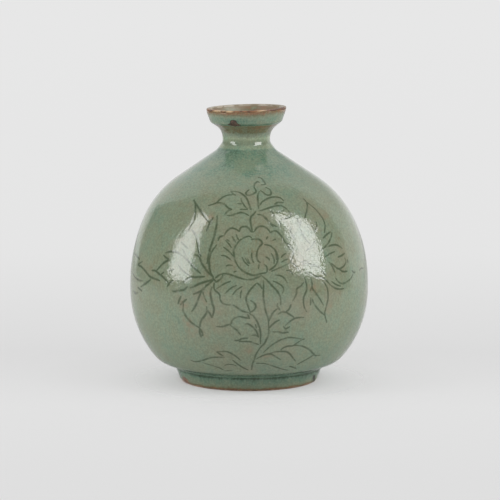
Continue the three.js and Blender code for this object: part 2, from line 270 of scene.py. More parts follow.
SPRIG = [
    [(256.1, 211), (253.6, 214.2), (251, 216.8), (250.4, 221.2), (251.6, 227.9), (252.2, 231.1)],
    [(208.3, 205.6), (212.8, 204.3), (216.6, 202.7), (219.8, 199.5), (223.6, 196.7), (228.1, 195.1),
     (233.2, 194.8)],
    [(230.6, 191.3), (234.4, 191.3), (239.5, 192.5), (244, 195.4), (247.2, 199.5), (249.1, 204.6),
     (250.4, 209.7)],
    [(231.3, 191.9), (233.8, 194.4), (235.7, 195.1)],
    [(216.6, 203), (221.7, 203), (224.9, 204.6), (228.1, 207.8), (231.9, 209.4)],
    [(231.9, 209.4), (228.1, 211), (224.9, 214.2)],
    [(227.4, 215.5), (231.9, 215.2), (236.4, 213.6), (240.8, 212.6), (245.3, 213.6), (248.5, 215.5)],
    [(249.1, 189.7), (245.9, 192.8), (247.5, 195.1), (251, 194.8), (254.2, 193.2), (256.1, 191.3),
     (254.1, 187.1)],
    [(254.2, 186.5), (254.8, 183.9), (257.3, 181.7), (259.3, 182.4)],
    [(258, 177.2), (261.2, 178.2), (263.8, 181), (265.1, 184.2), (261.2, 184.9)],
    [(265.7, 187.4), (269.5, 189.3), (271.1, 192.5), (270.2, 194.8), (266.3, 194.8), (262.5, 191.9),
     (260.6, 190.6)],
    [(259.3, 191.3), (257.7, 195.7), (258, 200.8), (258.7, 208.5)],
    [(259.9, 205.3), (261.9, 202.1), (265.7, 199.5), (270.2, 197.6), (275.3, 197), (280.4, 197.9),
     (283.5, 200.8)],
    [(283.5, 202.7), (278.4, 202.4), (274.6, 204)],
    [(258.7, 211), (264.4, 209.4), (268.9, 207.8), (274.6, 206.2), (280.4, 205.6), (284.8, 207.5),
     (288.6, 211)],
    [(288.6, 211), (291.2, 214.8)],
    [(291.2, 216.1), (285.5, 218.4), (280.4, 220.3)],
    [(257.4, 214.2), (262.5, 215.5), (266.3, 219.3), (272.1, 224.4), (277.1, 226.7)],
]
SPRIG_VEINS = [
    [(240.8, 198.3), (242.1, 202.1), (244.6, 205.9), (247.5, 209.1)],
    [(237.6, 203.4), (242.1, 204)],
    [(240.2, 209.4), (247.5, 209.4)],
    [(270.2, 212), (272.3, 211.4), (273.8, 216.5)],
    [(276, 212.8), (280, 211.8), (284, 209.8)],
    [(265.2, 216.6), (269, 222), (273.4, 226.8)],
    [(249.4, 203.8), (251.2, 209.8)],
    [(278.4, 220.6), (281, 224.4)],
]
LEFT_LEAVES = [
    [(217.1, 215.9), (217.1, 221.7), (215.9, 228.6), (214.2, 236), (211.9, 243.5), (209.6, 250.4),
     (206.9, 263.5)],
    [(193.8, 199.9), (195.5, 204.4), (195.3, 210.2), (194.7, 215.4), (192.4, 222.2), (189.5, 227.4),
     (187.8, 231.4)],
    [(193.8, 199.9), (197, 205.6), (201, 211.3), (205, 216.5), (207.9, 220.5), (209.6, 223.4)],
    [(213.1, 217.6), (210.2, 222.8), (207.9, 227.4), (206.7, 230.9)],
    [(191.8, 229.7), (194.7, 233.7), (197, 239.5), (198.1, 244.6), (198.7, 251.5), (201, 256.1)],
    [(195.1, 254.7), (198.8, 256.5), (200.6, 260.1), (202.4, 264.4), (204.8, 268), (207.2, 271.3),
     (213.6, 277.4)],
    [(210.8, 255), (209, 259.6), (209.3, 265.3), (210.2, 271.6), (212.5, 275.7)],
    [(184.8, 280.1), (188.5, 278.3), (192.1, 277.2), (198.8, 277.1), (204.8, 276.5)],
    [(172.1, 291), (175.1, 291.3), (180, 290.4), (184.2, 289.5), (187.3, 286.8)],
    [(190.4, 288), (194.7, 286), (200.4, 283.4), (206.7, 281.4), (213.3, 279.6)],
    [(193.6, 294.1), (198.2, 292.3), (201.8, 290.4), (206, 286.2), (209.7, 283.2), (213.3, 280.1)],
    [(202.1, 290.6), (199.3, 296.3), (197, 302.6), (194.7, 307.2), (191.8, 311.3)],
    [(211.9, 287.1), (210.5, 291.7), (210.8, 296.3), (212.5, 303.8), (213.9, 308.4), (213.6, 312.4),
     (212, 317.5)],
    [(212, 317.5), (209.8, 313.7), (206.9, 310)],
    [(206.7, 306.7), (206.7, 312.1), (204.6, 315.8), (202, 319.4), (200.4, 323.1), (199.9, 326.7)],
    [(183.5, 303.8), (183.1, 310), (184.7, 314.2), (187.8, 318.9), (191.5, 322.6), (195.2, 325.2),
     (199.4, 327.8)],
    [(199.4, 327.8), (200.9, 330.4), (202.5, 333.5), (202.8, 335.6)],
    [(199.6, 329.4), (199.9, 333), (201.2, 337.2)],
    [(180.3, 304.7), (183.2, 302.1), (186.6, 299.2)],
    [(180.9, 296.3), (179.2, 300.3), (178, 303.8)],
]
LEFT_VEINS = [
    [(181.2, 242), (184.8, 245.6)],
    [(186.2, 259.3), (188.8, 262)],
    [(182.6, 249.2), (184.6, 253), (186.2, 256)],
    [(182.4, 283), (185, 281), (188, 279.6)],
    [(184.8, 245.6), (188, 248.6)],
    [(178.2, 265), (181.6, 269.4), (185.6, 273.2), (190.8, 276.2)],
    [(203, 291.7), (203.9, 295.8), (206.7, 302.1)],
    [(168.5, 270.7), (171.5, 270.1), (173.9, 269.2)],
    [(161.2, 274.1), (164.2, 272)],
]
FAR_LEFT_LEAVES = [
    [(142.4, 261.7), (138.2, 264.4), (141.8, 267.1), (145.1, 270.7), (147.9, 274.4), (150.9, 277.1),
     (159.7, 280.6)],
    [(150.6, 279.8), (146.7, 282.6), (143.3, 285), (140.6, 286.8)],
    [(137.6, 287.4), (140, 289.2), (142.1, 291)],
    [(133.6, 291), (135.4, 293.2), (138.2, 292.6)],
    [(132.4, 272.9), (134.2, 275.9), (136.7, 278.6), (139.4, 280.1), (142.1, 280.7)],
    [(163.6, 255.3), (166.3, 257.7), (169.1, 259.8), (166, 261.4), (162.4, 264.1), (159.1, 267.7),
     (156.4, 270.7)],
    [(151.8, 270.4), (155.1, 270.7), (158.8, 273.5), (162.4, 276.5), (166, 280.4), (168.4, 283.2)],
    [(165.4, 252.9), (167.9, 252), (170.9, 251.5), (174.5, 251.7), (178.2, 252.9), (182.4, 255.6)],
    [(182.4, 255.6), (185.4, 258.2), (188.6, 261.4), (192, 265.2), (195.6, 268.9), (200.4, 273.2)],
    [(133.5, 254), (137, 256), (139.6, 259.4)],
    [(167.3, 286.2), (169.7, 283.2), (172.7, 280.4)],
]
RIGHT_LEAVES = [
    [(303.3, 198.6), (306.3, 201.9), (307.4, 206.3), (306.6, 211.4), (304.8, 218)],
    [(300.8, 220.6), (299.3, 227.5)],
    [(307.1, 202.4), (314.3, 208.1), (318.7, 212.9), (322.4, 218), (324.6, 223.1), (325, 227.5),
     (324.2, 232.7)],
    [(290.9, 226.8), (290.1, 231.2), (292.3, 235.6), (294.9, 239.6)],
    [(331.9, 232.3), (330.8, 237.8), (328.3, 242.9), (325, 247), (320.9, 250.3)],
    [(330.5, 231.9), (326.8, 234.5), (323.1, 238.2)],
    [(327.5, 247), (331.9, 245.1), (337.1, 245.1), (342.2, 248.4)],
    [(344.8, 258), (345.9, 261.3), (344.4, 265.3), (341.5, 267.9), (337.8, 268.6), (334.1, 265.7),
     (329, 262)],
    [(337.8, 257.2), (341.1, 255.8), (344.8, 253.2)],
    [(339.3, 269.3), (342.9, 271.5), (347.3, 271.2)],
    [(329.7, 262.7), (332.7, 267.1), (334.9, 272.3)],
    [(302.5, 263.8), (307.6, 263.8), (313.3, 265.1), (317.8, 267), (321.7, 270.1)],
    [(307, 272.6), (310.7, 273.4), (314.3, 275.9), (318, 277), (322.4, 277.8), (326.1, 280.3),
     (330.5, 285.1)],
    [(330.5, 285.1), (334.9, 288), (339.3, 289.1), (343.7, 288.6)],
    [(321.7, 271.5), (324.6, 273.4), (326.1, 275.9)],
    [(304.4, 277.4), (306.3, 283.3), (306.6, 289.9), (303.8, 297), (303.5, 302.1), (304.4, 307.2),
     (306.7, 311.7)],
    [(310.7, 278.1), (312.1, 283.3), (312.5, 288.4), (317.3, 295), (320.2, 299.4), (323.6, 305.3)],
    [(322.9, 281), (326.1, 285.5), (327.7, 290), (327.9, 299.4), (325.8, 308.5), (324.8, 314.2),
     (326.9, 322.6)],
    [(312.1, 298.9), (314.6, 304.6), (319.1, 310.4), (324.2, 314.9)],
    [(353.2, 274.1), (350.3, 278.9), (345.9, 282.5), (341.5, 283.6), (337.8, 281.1), (335.6, 278.1)],
    [(351.7, 270.4), (353.9, 272.6), (355.4, 271.9)],
]
RIGHT_VEINS = [
    [(316.2, 221.7), (316.7, 226.1), (315.4, 231.9)],
    [(311.8, 224.6), (314.3, 229.7), (315.4, 232.3)],
    [(325, 256.9), (329.7, 253.9), (334.9, 251.4)],
    [(310.8, 297.6), (310.5, 305.3)],
    [(311.4, 287.7), (309.9, 291.3)],
    [(347.3, 259.4), (348.2, 262.7)],
    [(359.1, 270.4), (361.3, 268.2), (363.8, 268.6)],
    [(300.5, 229), (302.5, 234.5), (304.5, 239)],
    [(303.6, 235), (306.4, 240.2), (310, 243.8)],
    [(310.6, 247.4), (313.2, 243.8), (316.2, 240.4)],
    [(306, 251), (309, 248.6), (313, 247.6)],
    [(290.8, 262.8), (294.2, 264.4), (297.2, 268), (300.4, 272.2)],
    [(331.6, 281.4), (336.2, 284.6), (341, 286.2)],
    [(297.2, 218), (298.6, 223.4)],
    [(300, 262.4), (304.4, 261.2), (309.6, 261.6)],
    [(287.6, 246.2), (291.2, 250.2)],
]
DEEP_CUTS = FLOWER + LOWER_PETALS + STEM + STEM_LEAVES + BOTTOM_LEAVES + SPRIG
LIGHT_CUTS = FLOWER_VEINS + PETAL_VEINS + STEM_VEINS + BOTTOM_VEINS + SPRIG_VEINS
BOLD_SIDE_CUTS = LEFT_LEAVES + FAR_LEFT_LEAVES
LIGHT_SIDE_CUTS = LEFT_VEINS + RIGHT_VEINS
BOLD_CUT_HALF_WIDTH = 0.66
DEEP_CUT_HALF_WIDTH = 0.55
LIGHT_CUT_HALF_WIDTH = 0.44
CUT_DEPTH_SHARE = 0.06
CUT_WALL = (0.1, 1.3)
FAR_ACROSS = 3.0
FAR_FROM_CUT = 9.0
CUT_POINT_SPACING = 0.25
FINE_CELL_REACHES = (2.0, 1.0, 0.45)

# Where glaze has chipped off: the middle of each chip and how far it reaches along X, Y and Z.
CHIPS = [
    ((-6.8, -18.6, 142.9), (2.0, 3.2, 2.4)),
    ((-6.8, -18.6, 142.2), (4.1, 3.2, 1.0)),
]
CHIP_DEPTH = 0.3
CHIP_EDGE = (0.75, 1.05)
CHIP_RAGGEDNESS = 0.16
SPOT_EDGE = (0.2, 1.1)

# Smaller ones, which stay dark all over.
NICKS = [
    ((35.2, -14.9, 4.4), (1.3, 2.0, 2.4)),
    ((36.0, -13.0, 2.2), (1.5, 2.0, 1.2)),
]
NICK_SHARE = 0.45

# Where the glaze is worn or has drawn back, the same way.
FOOT_PATCH = ((-34.1, -15.2, 1.6), (3.4, 6.0, 3.0))

# Where iron in the clay tints the glaze warm, in pixels of the photograph, and how far each spot reaches.
BLUSHES = [
    ((191, 331), 6.0),
    ((187, 321), 4.5),
    ((209, 298), 5.5),
    ((215, 312), 4.5),
    ((184, 304), 4.0),
    ((211, 217), 3.0),
    ((313, 287), 4.5),
    ((329, 309), 3.5),
    ((324, 215), 5.0),
    ((249, 350), 3.5),
    ((266, 356), 4.0),
]

# Where the glaze is coarser than elsewhere, the same way.
COARSE_SPOTS = [
    ((298, 232), 15.0),
    ((306, 262), 15.0),
]

# How much pale shows along the front of the lip, by place along X: partly worn clay, partly a painted
# highlight.
LIP_REACH = 22
LIP_WEAR_AND_HIGHLIGHT = [
    (-LIP_REACH, 0.0),
    (-18, 0.9),
    (-10, 1.0),
    (-8, 0.1),
    (-5, 0.8),
    (0, 0.7),
    (2, 0.1),
    (4, 0.7),
    (8, 0.6),
    (10, 0.0),
    (LIP_REACH, 0.0),
]


# Outlines are rows of complex numbers: the real part is the radius, the imaginary part the height.
def unit(arrow):
    return arrow / abs(arrow)


def straight(start, end, spacing):
    steps = max(math.ceil(abs(end - start) / spacing), 1)
    return [start + (end - start) * k / steps for k in range(1, steps + 1)]


def rounded(corners, spacing):
    points = [complex(radius, height) for radius, height, _ in corners]
    line = [points[0]]
    for before, at, after, corner in zip(points, points[1:], points[2:], corners[1:]):
        back = unit(before - at)
        ahead = unit(after - at)
        turn = cmath.phase(-ahead / back)
        rounding = corner[2]
        start = at + back * rounding * math.tan(abs(turn) / 2)
        centre = at + unit(back + ahead) * rounding / math.cos(turn / 2)
        steps = max(math.ceil(abs(turn) * rounding / spacing), ARC_STEPS)
        line += straight(line[-1], start, spacing)
        if rounding > 0:
            turns = [cmath.exp(1j * turn * k / steps) for k in range(1, steps + 1)]
            line += [centre + (start - centre) * part for part in turns]
    line += straight(line[-1], points[-1], spacing)
    return np.array(line)


def inward(line):
    along = np.gradient(line)
    return 1j * along / abs(along)


def stretch(line, low, high):
    heights = line.imag
    inside = line[(heights > low) & (heights < high)]
    ends = [complex(np.interp(height, heights, line.real), height) for height in (low, high)]
    return np.array([ends[0], *inside, ends[1]])


FINE_OUTSIDE = rounded(OUTSIDE, LOOKUP_SPACING)
FINE_INWARD = inward(FINE_OUTSIDE)


def radius_at(height):
    return np.interp(height, FINE_OUTSIDE.imag, FINE_OUTSIDE.real)


def inward_at(points):
    way = np.interp(points[:, 2], FINE_OUTSIDE.imag, FINE_INWARD)
    radius = np.hypot(points[:, 0], points[:, 1])
    across = points[:, :2] / radius[:, None] * way.real[:, None]
    return np.column_stack([across, way.imag])


def smoothstep(value, low, high):
    share = np.clip((value - low) / (high - low), 0, 1)
    return share * share * (3 - 2 * share)


def drift(height):
    low, middle, high = DRIFT_HEIGHTS
    return MOUTH_DRIFT * smoothstep(height, middle, high) + FOOT_DRIFT * (1 - smoothstep(height, 0, low))


def thrown_off_true(points):
    moved = points.copy()
    moved[:, 0] += drift(points[:, 2])
    lean = math.tan(math.radians(RIM_TILT)) * smoothstep(points[:, 2], *RIM_TILT_HEIGHTS)
    moved[:, 2] += lean * points[:, 0]
    return moved


def read_points(piece):
    points = np.empty(len(piece.data.vertices) * 3)
    piece.data.vertices.foreach_get("co", points)
    return points.reshape(-1, 3) / MM


def write_points(piece, points):
    piece.data.vertices.foreach_set("co", (points * MM).ravel())
    piece.data.update()


def wander(points, size, seed):
    """An uneven number between about -1 and 1 for each point, that changes over the size given."""
    shift = Vector((seed, -seed, 2.5 * seed))
    return np.array([noise.noise(Vector(point) / size + shift) for point in points])


def keep_value(piece, name, values):
    attribute = piece.data.attributes.new(name, "FLOAT", "POINT")
    attribute.data.foreach_set("value", np.asarray(values, dtype=np.float32))


# A ring is drawn as a wire, one point after the other, and spun round the axis.
def draw_wire(name, line):
    bpy.ops.object.select_all(action="DESELECT")
    start = (line[0].real * MM, 0, line[0].imag * MM)
    bpy.ops.mesh.primitive_circle_add(vertices=3, radius=MM, location=start)
    piece = bpy.context.object
    piece.name = name
    piece.data.name = name
    bpy.ops.object.transform_apply(location=True, rotation=False, scale=False)
    bpy.ops.object.mode_set(mode="EDIT")
    bpy.ops.mesh.select_mode(type="VERT")
    bpy.ops.mesh.select_all(action="SELECT")
    bpy.ops.mesh.merge(type="CENTER")
    for step in np.diff(line) * MM:
        move = {"value": (step.real, 0, step.imag)}
        bpy.ops.mesh.extrude_vertices_move(TRANSFORM_OT_translate=move)
    return piece


def turned(name, line, steps=TURN_STEPS):
    piece = draw_wire(name, line)
    bpy.ops.mesh.select_all(action="SELECT")
    bpy.ops.mesh.spin(steps=steps, angle=math.tau, center=(0, 0, 0), axis=(0, 0, 1))
    bpy.ops.mesh.select_all(action="SELECT")
    bpy.ops.mesh.remove_doubles(threshold=MERGE_DISTANCE * MM)
    bpy.ops.mesh.normals_make_consistent(inside=False)
    bpy.ops.object.mode_set(mode="OBJECT")
    return piece


def closed(*parts):
    line = np.concatenate(parts)
    return np.append(line, line[0])


def finish_piece(piece, node, material):
    points = read_points(piece)
    keep_value(piece, "thrown_height", points[:, 2])
    write_points(piece, thrown_off_true(points))
    bpy.ops.object.select_all(action="DESELECT")
    piece.select_set(True)
    bpy.context.view_layer.objects.active = piece
    bpy.ops.object.shade_smooth_by_angle(angle=math.radians(SMOOTH_ANGLE))
    piece.data.materials.clear()
    piece.data.materials.append(material)
    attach(piece, "root")
    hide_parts(node)


# The cuts are found on the body where the camera sees them in the photograph.
def curve_through(points, spacing):
    given = np.array([points[0], *points, points[-1]], dtype=float)
    curve = []
    for a, b, c, d in zip(given, given[1:], given[2:], given[3:]):
        count = max(math.ceil(np.linalg.norm(c - b) / spacing), 1)
        t = np.linspace(0, 1, count, endpoint=False)[:, None]
        bend = 2 * a - 5 * b + 4 * c - d
        twist = 3 * (b - c) + d - a
        curve.extend(b + ((c - a) * t + bend * t**2 + twist * t**3) / 2)
    return np.array([*curve, given[-1]])


def on_body(pixels):
    focal = CAMERA_LENS / SENSOR_WIDTH * PHOTO_WIDTH
    tilt = math.radians(CAMERA_TILT)
    across = (pixels[:, 0] - PHOTO_WIDTH / 2) / focal
    up = (PHOTO_WIDTH / 2 - pixels[:, 1]) / focal
    ahead = math.cos(tilt) + up * math.sin(tilt)
    rise = up * math.cos(tilt) - math.sin(tilt)
    near = np.full(len(pixels), -BODY_REACH)
    far = np.zeros(len(pixels))
    for _ in range(HALVINGS):
        y = (near + far) / 2
        x = CAMERA_PLACE[0] + across / ahead * (y - CAMERA_PLACE[1])
        z = CAMERA_PLACE[2] + rise / ahead * (y - CAMERA_PLACE[1])
        outside = np.hypot(x - drift(z), y) > radius_at(z)
        near = np.where(outside, y, near)
        far = np.where(outside, far, y)
    return np.column_stack([x - drift(z), y, z])


def swelling(count):
    share = np.linspace(0, 1, count)
    return 0.55 + 0.45 * np.sin(math.pi * share) ** 0.6


def cuts_on_body(rows, half_width):
    lines = [on_body(curve_through(row, CUT_POINT_SPACING)) for row in rows]
    points = np.concatenate(lines)
    widths = np.concatenate([half_width * swelling(len(line)) for line in lines])
    return np.column_stack([points, widths])


def find_cuts():
    front = [
        cuts_on_body(DEEP_CUTS, DEEP_CUT_HALF_WIDTH),
        cuts_on_body(LIGHT_CUTS, LIGHT_CUT_HALF_WIDTH),
    ]
    sides = [
        cuts_on_body(BOLD_SIDE_CUTS, BOLD_CUT_HALF_WIDTH),
        cuts_on_body(RIGHT_LEAVES, DEEP_CUT_HALF_WIDTH),
        cuts_on_body(LIGHT_SIDE_CUTS, LIGHT_CUT_HALF_WIDTH),
    ]
    back = [cuts * (-1, -1, 1, 1) for cuts in front]
    return np.concatenate(front + sides + back)


def tree_of(points):
    tree = KDTree(len(points))
    for index, point in enumerate(points):
        tree.insert(point, index)
    tree.balance()
    return tree


def nearest(tree, points):
    found = [tree.find(point) for point in points]
    return np.array([index for _, index, _ in found]), np.array([distance for _, _, distance in found])


def is_outside(points):
    return np.hypot(points[:, 0], points[:, 1]) > radius_at(points[:, 2]) - GLAZE_THICKNESS / 3


def face_middles(piece):
    middles = np.empty(len(piece.data.polygons) * 3)
    piece.data.polygons.foreach_get("center", middles)
    return middles.reshape(-1, 3) / MM


def cut_faces_smaller(piece, chosen):
    bpy.context.tool_settings.mesh_select_mode = (False, False, True)
    piece.data.vertices.foreach_set("select", np.zeros(len(piece.data.vertices), dtype=bool))
    piece.data.edges.foreach_set("select", np.zeros(len(piece.data.edges), dtype=bool))
    piece.data.polygons.foreach_set("select", chosen)
    bpy.context.view_layer.objects.active = piece
    bpy.ops.object.mode_set(mode="EDIT")
    bpy.ops.mesh.subdivide(number_cuts=1)
    bpy.ops.object.mode_set(mode="OBJECT")


def refine(piece, tree):
    for reach in FINE_CELL_REACHES:
        middles = face_middles(piece)
        chosen = is_outside(middles)
        candidates = np.flatnonzero(chosen)
        chosen[candidates] = nearest(tree, middles[candidates])[1] < reach
        cut_faces_smaller(piece, chosen)
        points = read_points(piece)
        outside = is_outside(points)
        radius = np.hypot(points[:, 0], points[:, 1])
        stretch_by = np.where(outside, radius_at(points[:, 2]) / radius, 1)
        points[:, :2] *= stretch_by[:, None]
        write_points(piece, points)


def press_cuts(piece, cuts, tree):
    points = read_points(piece)
    across = np.full(len(points), FAR_ACROSS)
    outside = np.flatnonzero(is_outside(points))
    index, distance = nearest(tree, points[outside])
    half_width = cuts[index, 3]
    across[outside] = np.minimum(distance / half_width, FAR_ACROSS)
    depth = CUT_DEPTH_SHARE * half_width * (1 - smoothstep(across[outside], *CUT_WALL))
    points[outside] += inward_at(points[outside]) * depth[:, None]
    write_points(piece, points)
    keep_value(piece, "across_cut", across)
    away = np.full(len(points), FAR_FROM_CUT)
    away[outside] = np.minimum(distance, FAR_FROM_CUT)
    keep_value(piece, "from_cut", away)


def patch_share(points, patches):
    distances = [np.linalg.norm((points - middle) / reach, axis=1) for middle, reach in patches]
    ragged = np.min(distances, axis=0) + CHIP_RAGGEDNESS * wander(points, size=0.9, seed=4.0)
    return 1 - smoothstep(ragged, *CHIP_EDGE)


def spot_share(points, spots):
    middles = on_body(np.array([pixel for pixel, _ in spots], dtype=float))
    reaches = [reach for _, reach in spots]
    distances = [np.linalg.norm(points - middle, axis=1) / reach for middle, reach in zip(middles, reaches)]
    return 1 - smoothstep(np.min(distances, axis=0), *SPOT_EDGE)


# Shader nodes are made, set and linked in one call.
def fill(tree, made, inputs):
    for name, value in inputs.items():
        if isinstance(value, bpy.types.NodeSocket):
            tree.links.new(value, made.inputs[name])
        else:
            made.inputs[name].default_value = value


def add(tree, kind, inputs=None, **settings):
    made = tree.nodes.new("ShaderNode" + kind)
    for name, value in settings.items():
        setattr(made, name, value)
    fill(tree, made, inputs or {})
    return made


def maths(tree, operation, *values):
    return add(tree, "Math", dict(enumerate(values)), operation=operation).outputs[0]


def plus(tree, first, second):
    return maths(tree, "ADD", first, second)


def minus(tree, first, second):
    return maths(tree, "SUBTRACT", first, second)


def times(tree, first, second):
    return maths(tree, "MULTIPLY", first, second)


def over(tree, first, second):
    return maths(tree, "DIVIDE", first, second)


def place_in(tree):
    return add(tree, "TexCoord").outputs["Object"]


def value_of(tree, name):
    return add(tree, "Attribute", attribute_name=name).outputs["Fac"]


def remap(tree, value, low, high, start=0.0, end=1.0):
    inputs = {"Value": value, "From Min": low, "From Max": high, "To Min": start, "To Max": end}
    return add(tree, "MapRange", inputs, interpolation_type="SMOOTHSTEP").outputs["Result"]


def blend(tree, share, first, second):
    made = add(tree, "Mix", {0: share, 6: first, 7: second}, data_type="RGBA")
    return made.outputs[2]


def cloud(tree, place, scale, detail=3.0, distortion=0.0):
    inputs = {"Vector": place, "Scale": scale, "Detail": detail, "Distortion": distortion}
    return add(tree, "TexNoise", inputs).outputs[0]


def cloudy(tree, place, size, *levels):
    """Cloudy patches: their scale and detail, and the levels of the cloud that they fade between."""
    return remap(tree, cloud(tree, place, *size), *levels)


def ramp(tree, value, stops):
    made = add(tree, "ValToRGB", {0: value})
    elements = made.color_ramp.elements
    for place, colour in stops[1:-1]:
        elements.new(place).color = colour
    elements[0].position, elements[0].color = stops[0]
    elements[-1].position, elements[-1].color = stops[-1]
    return made.outputs["Color"]


def shade(red, green, blue):
    """A colour from its brightness in red, green and blue as a screen shows them, 0 to 255."""
    parts = [part / 255 for part in (red, green, blue)]
    linear = [part / 12.92 if part <= 0.04045 else ((part + 0.055) / 1.055) ** 2.4 for part in parts]
    return (*linear, 1.0)


def new_group(name, inputs, outputs):
    group = bpy.data.node_groups.new(name, "ShaderNodeTree")
    for socket, kind in inputs:
        group.interface.new_socket(socket, in_out="INPUT", socket_type=kind)
    for socket, kind in outputs:
        group.interface.new_socket(socket, in_out="OUTPUT", socket_type=kind)
    return group, group.nodes.new("NodeGroupInput").outputs, group.nodes.new("NodeGroupOutput").inputs


def use_group(tree, group, inputs):
    made = tree.nodes.new("ShaderNodeGroup")
    made.node_tree = group
    fill(tree, made, inputs)
    return made.outputs


CRACK_COLOUR = shade(84, 84, 62)
CRACK_WIDTH = 0.0001
CRACK_SPACING = 0.0034
MOUTH_CRACK_SPACING = 0.003
IRON_COLOUR = shade(154, 140, 118)
BLUSH_COLOUR = shade(152, 126, 100)
CUT_COLOUR = shade(58, 75, 50)
MILKY_COLOUR = shade(142, 125, 102)

# The clay of the worn patch at the foot, and that of the chips with their dark edge.
PATCH_CLAY = [(0.4, shade(118, 80, 62)), (0.6, shade(148, 112, 88))]
CHIP_CLAY = [(0.38, shade(58, 44, 36)), (0.62, shade(114, 88, 72))]
CHIP_EDGE_COLOUR = shade(44, 36, 28)

# The celadon's colour by how thick it lies: brown where it is thin, teal and dark where it pools.
GLAZE_COLOURS = [
    (0.00, shade(142, 108, 79)),
    (0.10, shade(138, 119, 90)),
    (0.20, shade(123, 119, 90)),
    (0.34, shade(131, 138, 112)),
    (0.47, shade(133, 145, 120)),
    (0.60, shade(127, 145, 122)),
    (0.74, shade(106, 136, 115)),
    (1.00, shade(60, 84, 62)),
]


def make_glaze_colour():
    group, given, made = new_group(
        "celadon_colour",
        [("Thickness", "NodeSocketFloat"), ("Iron", "NodeSocketFloat")],
        [("Colour", "NodeSocketColor"), ("Roughness", "NodeSocketFloat")],
    )
    place = place_in(group)
    broad = cloudy(group, place, (30, 2), 0.3, 0.7, -0.06, 0.06)
    middling = cloudy(group, place, (110, 4, 0.4), 0.3, 0.7, -0.08, 0.08)
    streak_place = add(group, "Mapping", {"Vector": place, "Scale": (1.0, 1.0, 0.3)}).outputs[0]
    streaks = cloudy(group, streak_place, (900, 3), 0.3, 0.7, -0.08, 0.08)
    uneven = plus(group, plus(group, broad, middling), streaks)
    thickness = plus(group, given["Thickness"], uneven)
    glaze = ramp(group, thickness, GLAZE_COLOURS)
    grain = cloudy(group, place, (1000, 3), 0.3, 0.7, -0.14, 0.14)
    glaze = add(group, "HueSaturation", {"Color": glaze, "Value": plus(group, grain, 1.0)}).outputs[0]
    patches = cloudy(group, place, (75, 4, 0.4), 0.42, 0.68)
    iron = times(group, patches, given["Iron"])
    colour = blend(group, iron, glaze, IRON_COLOUR)
    group.links.new(colour, made["Colour"])
    rough = cloudy(group, place, (400, 3), 0.3, 0.7, 0.03, 0.08)
    group.links.new(rough, made["Roughness"])
    return group


def make_crackle():
    group, given, made = new_group(
        "crackle",
        [("Spacing", "NodeSocketFloat"), ("Line width", "NodeSocketFloat")],
        [("Lines", "NodeSocketFloat")],
    )
    place = place_in(group)
    bent = add(group, "TexNoise", {"Vector": place, "Scale": 180.0, "Detail": 3.0}).outputs["Color"]
    push = add(group, "VectorMath", {0: bent, 1: (0.0025, 0.0025, 0.0025)}, operation="MULTIPLY").outputs[0]
    moved = add(group, "VectorMath", {0: place, 1: push}, operation="ADD").outputs[0]
    scale = over(group, 1.0, given["Spacing"])
    cells = add(group, "TexVoronoi", {"Vector": moved, "Scale": scale}, feature="DISTANCE_TO_EDGE")
    half = over(group, given["Line width"], given["Spacing"])
    lines = minus(group, 1.0, remap(group, cells.outputs["Distance"], 0.0, half))
    group.links.new(lines, made["Lines"])
    return group


glaze_colour = make_glaze_colour()
crackle = make_crackle()

GLAZE_IOR = 1.58

# How thick the glaze lies at each height: it pools in corners and runs thin off edges. One row paints a
# shadow line under the dish's edge as thick glaze.
THICKNESS_AND_SHADOW_LINE_BY_HEIGHT = [
    (1.2, 0.05),
    (1.7, 0.26),
    (2.4, 0.46),
    (3.6, 0.62),
    (6.3, 0.72),
    (6.9, 0.98),
    (7.5, 1.0),
    (8.0, 0.72),
    (8.8, 0.8),
    (10.0, 0.66),
    (11.0, 0.56),
    (16.0, 0.5),
    (45.0, 0.46),
    (80.0, 0.46),
    (110.0, 0.5),
    (119.0, 0.63),
    (127.9, 0.7),
    (128.15, 0.95),
    (128.4, 0.5),
    (136.4, 0.52),
    (137.4, 0.27),
    (140.4, 0.22),
    (141.5, 0.12),
    # Painted shadow: the dark line just under the dish's edge.
    (141.75, 0.95),
    (142.0, 0.62),
    (143.0, 0.57),
    (144.2, 0.67),
    (145.8, 0.63),
    (147.2, 0.26),
    (148.4, 0.03),
    (149.9, 0.0),
]

# How light or dark the bands round the neck are against the rest: these bands are painted reflection, by
# height.
NECK_BOTTOM = 126.0
NECK_LENGTH = 16.0
NECK_REFLECTION_BANDS = [
    (126.0, 1.0),
    (127.9, 0.92),
    (128.5, 1.12),
    (129.3, 1.15),
    (130.2, 1.08),
    (130.8, 0.9),
    (131.4, 0.9),
    (132.2, 1.08),
    (133.4, 1.25),
    (134.0, 1.45),
    (134.6, 1.22),
    (135.6, 0.98),
    (136.9, 0.86),
    (138.5, 0.96),
    (142.0, 1.0),
]


def new_material(name):
    material = bpy.data.materials.new(name)
    material.use_nodes = True
    tree = material.node_tree
    shader = tree.nodes["Principled BSDF"]
    return material, tree, shader


def plug(tree, shader, **sockets):
    for name, socket in sockets.items():
        tree.links.new(socket, shader.inputs[name.replace("_", " ").title()])


def grey(value):
    return (value, value, value, 1)


def emboss(tree, shader, height, depth):
    bump = add(tree, "Bump", {"Height": height, "Strength": 1.0, "Distance": depth})
    plug(tree, shader, normal=bump.outputs[0])


def craze(tree, colour, spacing, strength):
    lines = use_group(tree, crackle, {"Spacing": spacing, "Line width": CRACK_WIDTH})["Lines"]
    return blend(tree, times(tree, lines, strength), colour, CRACK_COLOUR), lines


def glaze_by_height(tree, ragged_height):
    stops = [(level / DISH_TOP, grey(value)) for level, value in THICKNESS_AND_SHADOW_LINE_BY_HEIGHT]
    thickness = ramp(tree, over(tree, ragged_height, DISH_TOP), stops)
    iron = remap(tree, value_of(tree, "from_cut"), 0.5, 6.0, 0.3, 0.06)
    return use_group(tree, glaze_colour, {"Thickness": thickness, "Iron": iron})
